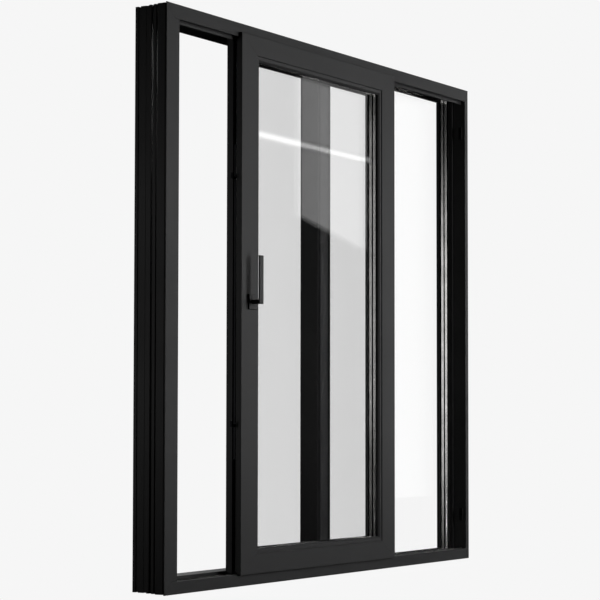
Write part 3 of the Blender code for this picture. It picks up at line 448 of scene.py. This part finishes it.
def rolled_metal(name, colour, tarnished, roughness, depth=0.00003, holes=None):
    """Bare or plated metal with drawn lines of some depth and a patchy tarnish. Holes are a row of punched
    dots, painted near-black as the shade inside them, as (middle depth, pitch, radius)."""
    material, tree, shader = new_material(name)
    lines = placed_group(tree, DRAWN_LINES, LINE_SIZE)
    rubbed = placed_group(tree, EDGE_WEAR, {"Radius": 0.0006, "Patch Size": 0.01})["Mask"]
    base = blended(tree, ranged(tree, lines["Tone"], 0.35, 0.65), tarnished, colour)
    polished = tuple(min(1.0, 1.25 * c) for c in colour)
    base = blended(tree, maths(tree, "MULTIPLY", rubbed, 0.3), base, polished)
    height = lines["Height"]
    if holes is not None:
        punched = placed_group(tree, PUNCHED_ROW, dict(zip(("Middle", "Pitch", "Radius"), holes)))["Mask"]
        # The holes are painted near-black, as painted shade for their shadowed insides, with a dip in the
        # bump.
        base = blended(tree, punched, base, HOLE_SHADE_COLOUR)
        height = maths(tree, "SUBTRACT", height, maths(tree, "MULTIPLY", punched, 4.0))
    tree.links.new(base, shader.inputs["Base Color"])
    shine = ranged(tree, lines["Tone"], 0.3, 0.7, roughness + 0.08, roughness - 0.05)
    tree.links.new(shine, shader.inputs["Roughness"])
    shader.inputs["Metallic"].default_value = 1.0
    bumped(tree, shader, height, 0.25, depth)
    return material


def bar(section, low, high):
    """A straight bar along X: a flat outline of (depth, height) points, extruded from low to high."""
    work = bmesh.new()
    outline = work.faces.new([work.verts.new((low, depth, height)) for depth, height in section])
    grown = bmesh.ops.extrude_face_region(work, geom=[outline])["geom"]
    moved = [item for item in grown if isinstance(item, bmesh.types.BMVert)]
    bmesh.ops.translate(work, vec=(high - low, 0, 0), verts=moved)
    bmesh.ops.recalc_face_normals(work, faces=work.faces)
    return work


stainless_steel = rolled_metal("stainless_steel", STEEL_COLOUR, STEEL_TARNISHED, 0.30)
low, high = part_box("running_rail")
middle = (low.y + high.y) / 2
foot_top = low.z + RAIL_FOOT_THICKNESS
section = [(low.y, low.z), (high.y, low.z), (high.y, foot_top), (middle + RAIL_WEB / 2, foot_top)]
section += arc((middle, high.z - RAIL_WEB / 2), RAIL_WEB / 2, 0, 180, 10)
section += [(middle - RAIL_WEB / 2, foot_top), (low.y, foot_top)]
rail = smooth_narrow(bar(section, low.x, high.x), 0.0015)
to_piece(rail, "running_rail_profile", stainless_steel, "frame", "stainless_steel", "running_rail")
cad_piece("head_guide_rail", METAL_EDGE, "_profile", powder_coat, "frame", "powder_coat")

# ---- Glass units ---------------------------------------------------------------------------------------
# Both lights have a sealed unit of three clear 4 mm panes, held apart by folded aluminium spacers with a
# row of breather holes, painted on as dots of dark shade. Black sealant fills the edge behind the spacers.

GASKET_HEIGHT = 0.006        # the gaskets reach this far behind the sight line
PANE_EDGE = 0.010            # and the panes this far
SPACER_FACE = 0.0009         # the spacers start this far behind it
SPACER_CORNER = 0.0005
SPACER_GROOVE = (0.0012, 0.0006, 0.0001)          # half its width at the top and at the floor, depth
SPACER_COLOUR = (0.90, 0.89, 0.87)
SPACER_TARNISHED = (0.78, 0.775, 0.76)
SPACER_HOLES = (0.005, 0.00025)         # pitch and radius
# Near-black for the holes: painted shade, where the inside of each hole lies in shadow.
HOLE_SHADE_COLOUR = (0.01, 0.01, 0.01)
SEALANT_GAP = 0.0001
ROUND_FACE = 0.0008          # a face narrower than this is part of a round stretch
RUBBER_COLOUR = (0.009, 0.009, 0.009)
RUBBER_BLOOMED = (0.022, 0.022, 0.022)
GLASS_SHARE = {"sash": 1.38, "fixed": 0.06}       # of what plain glass mirrors
LIGHTS = {"fixed": "frame", "sash": "sash"}


def punched_row_group():
    """Dots in a row along a bar, at one depth, a pitch apart. They run on round the corners."""
    tree, given, made = new_group("punched row", {"Middle": 0.0, "Pitch": 0.005, "Radius": 0.0003}, ["Mask"])
    parts = add_node(tree, "ShaderNodeSeparateXYZ", {}, {0: object_place(tree)}).outputs
    along = maths(tree, "DIVIDE", maths(tree, "ADD", parts["X"], parts["Z"]), given["Pitch"])
    from_hole = maths(tree, "SUBTRACT", maths(tree, "FRACT", along), 0.5)
    within = maths(tree, "POWER", maths(tree, "MULTIPLY", from_hole, given["Pitch"]), 2.0)
    across = maths(tree, "POWER", maths(tree, "SUBTRACT", parts["Y"], given["Middle"]), 2.0)
    away = maths(tree, "SQRT", maths(tree, "ADD", within, across))
    tree.links.new(maths(tree, "LESS_THAN", away, given["Radius"]), made["Mask"])
    return tree


PUNCHED_ROW = punched_row_group()


def glass(name, share):
    """Clear float glass that shows what is behind it unbent, and mirrors more at a glancing angle."""
    material, tree, shader = new_material(name)
    shader.inputs["Metallic"].default_value = 1.0
    shader.inputs["Base Color"].default_value = (1.0, 1.0, 1.0, 1.0)
    shader.inputs["Roughness"].default_value = 0.0
    mirrored = add_node(tree, "ShaderNodeFresnel", {}, {"IOR": 1.45}).outputs[0]
    outside = maths(tree, "SUBTRACT", 1.0, tree.nodes.new("ShaderNodeNewGeometry").outputs["Backfacing"])
    smears = ranged(tree, noise(tree, object_place(tree), 0.12, 4.0), 0.3, 0.8, 0.97, 1.03)
    seen = maths(tree, "MULTIPLY", maths(tree, "MULTIPLY", mirrored, share), outside)
    tree.links.new(maths(tree, "MULTIPLY", seen, smears), shader.inputs["Alpha"])
    return material


def sight_line(prefix):
    """The rectangle that a light's gaskets leave open: (x low, x high, z low, z high)."""
    low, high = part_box(prefix + "_gasket_inner")
    return (low.x + GASKET_HEIGHT, high.x - GASKET_HEIGHT, low.z + GASKET_HEIGHT, high.z - GASKET_HEIGHT)


black_rubber = moulded("black_rubber", RUBBER_COLOUR, 0.72, (0.0009, 0.00005), RUBBER_BLOOMED)
GLASS = {prefix: glass(prefix + "_glass", share) for prefix, share in GLASS_SHARE.items()}
groove_top, groove_floor, groove_depth = SPACER_GROOVE
for prefix, body in LIGHTS.items():
    for layer in ("inner", "middle", "outer"):
        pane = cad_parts[f"{prefix}_pane_{layer}"]
        pane.data.materials.clear()
        pane.data.materials.append(GLASS[prefix])
    for layer in ("inner", "outer"):
        node = f"{prefix}_spacer_{layer}"
        low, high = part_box(node)
        middle = (low.y + high.y) / 2
        depth = sight_line(prefix)[0] - low.x
        turn = SPACER_FACE + SPACER_CORNER
        floor = SPACER_FACE + groove_depth
        section = [(depth, low.y), (depth, high.y)]
        section += arc((turn, high.y - SPACER_CORNER), SPACER_CORNER, 90, 180, 4)
        section += [(SPACER_FACE, middle + groove_top), (floor, middle + groove_floor),
                    (floor, middle - groove_floor), (SPACER_FACE, middle - groove_top)]
        section += arc((turn, low.y + SPACER_CORNER), SPACER_CORNER, 180, 270, 4)
        finish = rolled_metal(node + "_metal", SPACER_COLOUR, SPACER_TARNISHED, 0.15, 0.000004,
                              (middle, *SPACER_HOLES))
        ring = smooth_narrow(swept_ring(section, sight_line(prefix)), ROUND_FACE)
        to_piece(ring, node + "_profile", finish, body, "spacer_metal", node)
        back = depth + SEALANT_GAP
        seal = [(back, low.y), (PANE_EDGE, low.y), (PANE_EDGE, high.y), (back, high.y)]
        ring = swept_ring(seal, sight_line(prefix))
        to_piece(ring, f"{prefix}_edge_sealant_{layer}", black_rubber, body, "black_rubber")

# ---- Gaskets -------------------------------------------------------------------------------------------
# EPDM seals on both sides of each glass unit. Each is a strip with a soft round lip that stands a little
# past the sight line and leans on the glass.

LIP_PAST = 0.0006
for prefix, body in LIGHTS.items():
    for layer in ("inner", "outer"):
        node = f"{prefix}_gasket_{layer}"
        low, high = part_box(node)
        radius = (high.y - low.y) / 2
        lip = arc((radius - LIP_PAST, low.y + radius), radius, 270, 90, 8)
        section = [(GASKET_HEIGHT, low.y)] + lip + [(GASKET_HEIGHT, high.y)]
        ring = smooth_narrow(swept_ring(section, sight_line(prefix)), ROUND_FACE)
        to_piece(ring, node + "_lip", black_rubber, body, "black_rubber", node)

# ---- Fixed light's beads and setting blocks ------------------------------------------------------------
# Square black plastic beads hold the fixed glass from the room side. It stands on two plastic blocks.

BLOCK_EDGE = 0.0006
for node in ("fixed_bead_bottom", "fixed_bead_top", "fixed_bead_left", "fixed_bead_right",
             "setting_block_left", "setting_block_right"):
    cad_piece(node, BLOCK_EDGE, "_profile", black_plastic, "frame", "black_plastic")

# ---- End stops -----------------------------------------------------------------------------------------
# Two rubber buffers on the right jamb that the sash runs against, each held by one sunk screw.

SCREW_RADIUS = 0.0028
SCREW_RISE = 0.38            # shares of a head's radius
SCREW_FLAT = 0.62
BLACK_STEEL_COLOUR = (0.030, 0.031, 0.033)
BLACK_STEEL_WORN = (0.020, 0.020, 0.022)
RECESS_RADIUS = 0.0013
RECESS_DEPTH = 0.0012
LOBES = 6
LOBE_DEPTH = 0.14
BUFFER_EDGE = 0.0004
BUFFER_RIM = 0.0027          # round the dish that the screw's head sits in
BUFFER_DISH = 0.0013


def screw_head(place, direction, radius=SCREW_RADIUS):
    """A low round screw head with a six-lobed recess."""
    rise = radius * SCREW_RISE
    floor = rise - RECESS_DEPTH
    profile = [(0, floor), (RECESS_RADIUS, floor), (RECESS_RADIUS, rise * 0.96)]
    profile += [(RECESS_RADIUS * 1.15, rise)]
    profile += arc((radius * SCREW_FLAT, rise * 0.1), rise, 80, 0, 5)
    profile += [(radius, -rise), (0, -rise)]
    work = turned(profile, (0, 0, 0), (0, 0, 1), 36)
    for vert in work.verts:
        reach = math.hypot(vert.co.x, vert.co.y)
        if abs(reach - RECESS_RADIUS) < MERGE:
            around = math.atan2(vert.co.y, vert.co.x)
            bulge = 1 - LOBE_DEPTH * (1 - math.cos(LOBES * around))
            vert.co.x *= bulge
            vert.co.y *= bulge
    turn = Vector(direction).to_track_quat("Z", "Y").to_matrix().to_4x4()
    bmesh.ops.transform(work, matrix=Matrix.Translation(place) @ turn, verts=work.verts)
    return smooth_narrow(work, ROUND_FACE)


black_steel = rolled_metal("black_steel", BLACK_STEEL_COLOUR, BLACK_STEEL_WORN, 0.45)
for place in ("lower", "upper"):
    node = "end_stop_" + place
    low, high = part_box(node)
    work = rounded(cad_copy(node), BUFFER_EDGE)
    front = [face for face in work.faces if face.normal.x < -0.99]
    bmesh.ops.inset_region(work, faces=front, thickness=BUFFER_RIM, depth=-BUFFER_DISH)
    to_piece(work, node + "_buffer", black_rubber, "frame", "black_rubber", node)
    seat = (low.x + BUFFER_DISH, (low.y + high.y) / 2, (low.z + high.z) / 2)
    to_piece(screw_head(seat, (-1, 0, 0)), node + "_screw", black_steel, "frame", "black_steel")

# ---- Lock keepers --------------------------------------------------------------------------------------
# Stamped stainless steel plates let into the left jamb's groove. The lock's hooks go through their slots.
# Each is held by two screws.

KEEPER_SCREW_INSET = 0.006
KEEPER_SCREW_RADIUS = 0.0026
ZINC_COLOUR = (0.42, 0.425, 0.43)
ZINC_TARNISHED = (0.33, 0.34, 0.36)
FINE_EDGE = 0.0003
zinc_steel = rolled_metal("zinc_steel", ZINC_COLOUR, ZINC_TARNISHED, 0.38)
for place in ("lower", "upper"):
    node = "lock_keeper_" + place
    low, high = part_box(node)
    cad_piece(node, FINE_EDGE, "_plate", stainless_steel, "frame", "stainless_steel")
    for end, height in (("bottom", low.z + KEEPER_SCREW_INSET), ("top", high.z - KEEPER_SCREW_INSET)):
        screw = screw_head((high.x, (low.y + high.y) / 2, height), (1, 0, 0), KEEPER_SCREW_RADIUS)
        to_piece(screw, f"{node}_{end}_screw", zinc_steel, "frame", "zinc_steel")

# ---- Drain caps ----------------------------------------------------------------------------------------
# Rain that gets into the sill runs out through slots in its outside face. Hooded caps of black plastic
# keep the wind from blowing it back.

DRAIN_SIZE = Vector((0.046, 0.0045, 0.013))
DRAIN_PLACES = {"left": 0.20, "middle": 0.55, "right": 0.85}         # shares of the sill's length
DRAIN_HEIGHT = 0.0155        # above the sill's outer edge
DRAIN_WALL = 0.0010
DRAIN_MOUTH = 0.0035         # depth of the opening under the hood
DRAIN_EDGE = 0.0020
low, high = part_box("frame_sill")
for name, share in DRAIN_PLACES.items():
    work = bmesh.new()
    bmesh.ops.create_cube(work, size=1.0)
    bmesh.ops.scale(work, vec=DRAIN_SIZE, verts=work.verts)
    mouth = min(work.faces, key=lambda face: face.calc_center_median().z)
    bmesh.ops.inset_region(work, faces=[mouth], thickness=DRAIN_WALL, depth=-DRAIN_MOUTH)
    edges = [edge for edge in work.edges if all(face.normal.z > -0.5 for face in edge.link_faces)
             and edge.calc_face_angle() > SHARP and min(v.co.y for v in edge.verts) > 0]
    made = bmesh.ops.bevel(work, geom=edges, offset=DRAIN_EDGE, offset_type="OFFSET", segments=4,
                           profile=0.5, affect="EDGES", clamp_overlap=True, material=-1)
    for face in made["faces"]:
        face.smooth = True
    place = (low.x + share * (high.x - low.x), high.y + DRAIN_SIZE.y / 2, low.z + DRAIN_HEIGHT)
    bmesh.ops.translate(work, vec=place, verts=work.verts)
    to_piece(work, "drain_cap_" + name, black_plastic, "frame", "black_plastic")

# ---- Sash frame and beads ------------------------------------------------------------------------------
# The sliding sash: two stiles and two rails of coated aluminium, mitred and crimped. Glazing beads of the
# same finish clip in round the glass, a little behind the sash's face. Their coat is painted a third lighter
# than the frame's: painted light, for the brighter look the sash has beside the frame.

SASH_LIT_COLOUR = (0.0640, 0.0645, 0.0660)
SASH_EDGE = 0.0009
BEAD_EDGE = 0.0005
# A lighter copy of the frame's coat: painted light for how much brighter the sash looks than the frame.
sash_coat_painted_light = coated("sash_coat_painted_light", SASH_LIT_COLOUR, COAT_WORN, COAT_ROUGHNESS, COAT_GRAIN, DUST_SHARE)
for member in ("sash_stile_left", "sash_stile_right", "sash_rail_top", "sash_rail_bottom"):
    cad_piece(member, SASH_EDGE, "_profile", sash_coat_painted_light, "sash", "powder_coat")
for side in ("left", "right", "bottom", "top"):
    cad_piece("sash_bead_" + side, BEAD_EDGE, "_profile", sash_coat_painted_light, "sash", "powder_coat")

# ---- Rollers and guides --------------------------------------------------------------------------------
# Two zinc-plated steel carriages in the bottom rail, each with a nylon wheel on a stainless axle, carry
# the sash. Two plastic guides in the top rail run along the guide rail.

GUIDE_EDGE = 0.0005
for side in ("left", "right"):
    cad_piece("roller_carriage_" + side, FINE_EDGE, "_part", zinc_steel, "sash", "zinc_steel")
    cad_piece("roller_axle_" + side, FINE_EDGE, "_part", stainless_steel, "sash", "stainless_steel")
    cad_piece("top_guide_" + side, GUIDE_EDGE, "_part", black_plastic, "sash", "black_plastic")
    cad_piece("roller_wheel_" + side, FINE_EDGE, "_part", black_plastic, "roller_" + side, "black_plastic")

# ---- Lock ----------------------------------------------------------------------------------------------
# A steel gearbox sits in the left stile. It drives a flat bar with two hooks, black passivated, in the
# groove of the stile's edge.

cad_piece("lock_bar", METAL_EDGE, "_part", black_steel, "lock_bar", "black_steel")
cad_piece("lock_gearbox", METAL_EDGE, "_case", zinc_steel, "sash", "zinc_steel")

# ---- Handle --------------------------------------------------------------------------------------------
# A die-cast lever, squared off and satin black, that stands up beside the glass. Its neck turns on a flat
# rose, which hides the two screws that hold it to the stile.

HANDLE_COLOUR = (0.048, 0.0485, 0.050)
HANDLE_WORN = (0.11, 0.11, 0.112)
HANDLE_GRAIN = (0.0008, 0.00003)
HANDLE_EDGE = 0.0006
handle_coat = coated("handle_coat", HANDLE_COLOUR, HANDLE_WORN, 0.42, HANDLE_GRAIN, 0.15)
cad_piece("handle_lever", HANDLE_EDGE, "_part", handle_coat, "handle", "handle_coat", 4)
cad_piece("handle_rose", FINE_EDGE, "_part", handle_coat, "sash", "handle_coat")
for node, body in (("handle_spindle", "handle"), ("rose_screw_lower", "sash"), ("rose_screw_upper", "sash")):
    cad_piece(node, FINE_EDGE, "_part", zinc_steel, body, "zinc_steel")

# ---- Studio --------------------------------------------------------------------------------------------
# A pale floor and background, a tall soft lamp on the room side, a weaker one behind, and bright boards
# that show only in the glass, the coats and the metal. The camera stands low at the left.

BACKGROUND = 0.922
AMBIENT = 0.010
KEY = 5.2
BACK = 14.0
BOARD_RIGHT = 3.7
BOARD_REAR = 1.15
BOARD_MULLION = 0.52
TUBE = 1.7
HARD_EDGE = 0.0001
FLOOR_SIZE = 30.0
FLOOR_GAP = 0.0005

scene = bpy.context.scene
scene.view_settings.view_transform = "Standard"
scene.cycles.transparent_max_bounces = 32      # a view through both glass units crosses twelve faces


def shown_to_camera(tree):
    """The background's brightness for what the camera sees straight or through glass, and nothing else."""
    seen = tree.nodes.new("ShaderNodeLightPath").outputs["Is Camera Ray"]
    return maths(tree, "MULTIPLY", seen, BACKGROUND)


world = bpy.data.worlds.new("studio")
scene.world = world
world.use_nodes = True
tree = world.node_tree
soft = maths(tree, "MULTIPLY", tree.nodes.new("ShaderNodeLightPath").outputs["Is Diffuse Ray"], AMBIENT)
tree.links.new(maths(tree, "ADD", shown_to_camera(tree), soft), tree.nodes["Background"].inputs["Strength"])
tree.nodes["Background"].inputs["Color"].default_value = (1.0, 1.0, 1.0, 1.0)


def studio_mesh(name, work, strength):
    """A sheet of the studio that gives off light and returns none. Its strength is given by a function."""
    mesh = bpy.data.meshes.new(name)
    work.to_mesh(mesh)
    work.free()
    sheet = bpy.data.objects.new(name, mesh)
    scene.collection.objects.link(sheet)
    material, tree, shader = new_material(name)
    shader.inputs["Base Color"].default_value = (0.0, 0.0, 0.0, 1.0)
    shader.inputs["Specular IOR Level"].default_value = 0.0
    shader.inputs["Emission Color"].default_value = (1.0, 1.0, 1.0, 1.0)
    tree.links.new(strength(tree), shader.inputs["Emission Strength"])
    mesh.materials.append(material)
    return sheet


work = bmesh.new()
bmesh.ops.create_grid(work, x_segments=1, y_segments=1, size=FLOOR_SIZE)
bmesh.ops.translate(work, vec=(0, 0, cad_box[0].z - FLOOR_GAP), verts=work.verts)
studio_mesh("pale_floor", work, shown_to_camera)


def board(name, corners, radiance, soft_edge=HARD_EDGE):
    """A bright board that shows only in reflections. Its corners are points, and it fades out over a share
    of its height at its upper and lower edges."""
    def strength(tree):
        place = tree.nodes.new("ShaderNodeUVMap").outputs[0]
        height = add_node(tree, "ShaderNodeSeparateXYZ", {}, {0: place}).outputs["Y"]
        from_edge = maths(tree, "MINIMUM", height, maths(tree, "SUBTRACT", 1.0, height))
        return maths(tree, "MULTIPLY", ranged(tree, from_edge, 0.0, soft_edge), radiance)

    work = bmesh.new()
    face = work.faces.new([work.verts.new(corner) for corner in corners])
    layer = work.loops.layers.uv.new("UVMap")
    for loop, place in zip(face.loops, ((0, 0), (1, 0), (1, 1), (0, 1))):
        loop[layer].uv = place
    sheet = studio_mesh(name, work, strength)
    sheet.visible_camera = False
    sheet.visible_diffuse = False
    sheet.visible_shadow = False
    sheet.visible_transmission = False


def lamp(name, place, target, size, radiance):
    """A soft rectangular lamp aimed at a point. The camera doesn't see it."""
    data = bpy.data.lights.new(name, "AREA")
    data.shape = "RECTANGLE"
    data.size, data.size_y = size
    data.energy = radiance * math.pi * size[0] * size[1]
    made = bpy.data.objects.new(name, data)
    scene.collection.objects.link(made)
    made.location = place
    made.rotation_euler = (Vector(target) - Vector(place)).to_track_quat("-Z", "Y").to_euler()
    made.visible_camera = False


lamp("key", (0.9, -2.2, 1.0), (0.2, 0, 0.75), (0.5, 2.4), KEY)
lamp("back", (1.6, 3.2, 3.4), (0, 0, 0.7), (2.0, 2.0), BACK)
board("board_right", ((5.1, -2.5, 0.0), (6.8, -2.5, 0.0), (6.8, -2.5, 2.6), (5.1, -2.5, 2.6)), BOARD_RIGHT)
board("board_rear", ((-2.65, 1.55, 0.44), (-1.5, 1.55, -0.35), (-1.5, 1.55, 1.08), (-2.65, 1.55, 1.95)),
      BOARD_REAR, 0.12)
board("board_mullion", ((4.135, -2.5, 1.477), (4.828, -2.5, 1.345), (4.828, -2.5, 2.25),
                        (4.135, -2.5, 2.25)), BOARD_MULLION)
board("tube", ((3.70, -2.49, 1.824), (4.84, -2.49, 1.807), (4.84, -2.49, 1.852), (3.70, -2.49, 1.868)),
      TUBE, 0.45)

CAMERA_PLACE = (-5.4525, -3.0470, 0.4403)
CAMERA_YAW = 59.8785
CAMERA_PITCH = 3.1181
CAMERA_ROLL = 0.0822
CAMERA_LENS = 131.02
camera_data = bpy.data.cameras.new("camera")
camera_data.sensor_width = 36.0
camera_data.lens = CAMERA_LENS
camera = bpy.data.objects.new("camera", camera_data)
scene.collection.objects.link(camera)
camera.location = CAMERA_PLACE
yaw = Matrix.Rotation(math.radians(-CAMERA_YAW), 3, "Z")
pitch = Matrix.Rotation(math.radians(90 + CAMERA_PITCH), 3, "X")
roll = Matrix.Rotation(math.radians(CAMERA_ROLL), 3, "Z")
camera.rotation_euler = (yaw @ pitch @ roll).to_euler()
scene.camera = camera
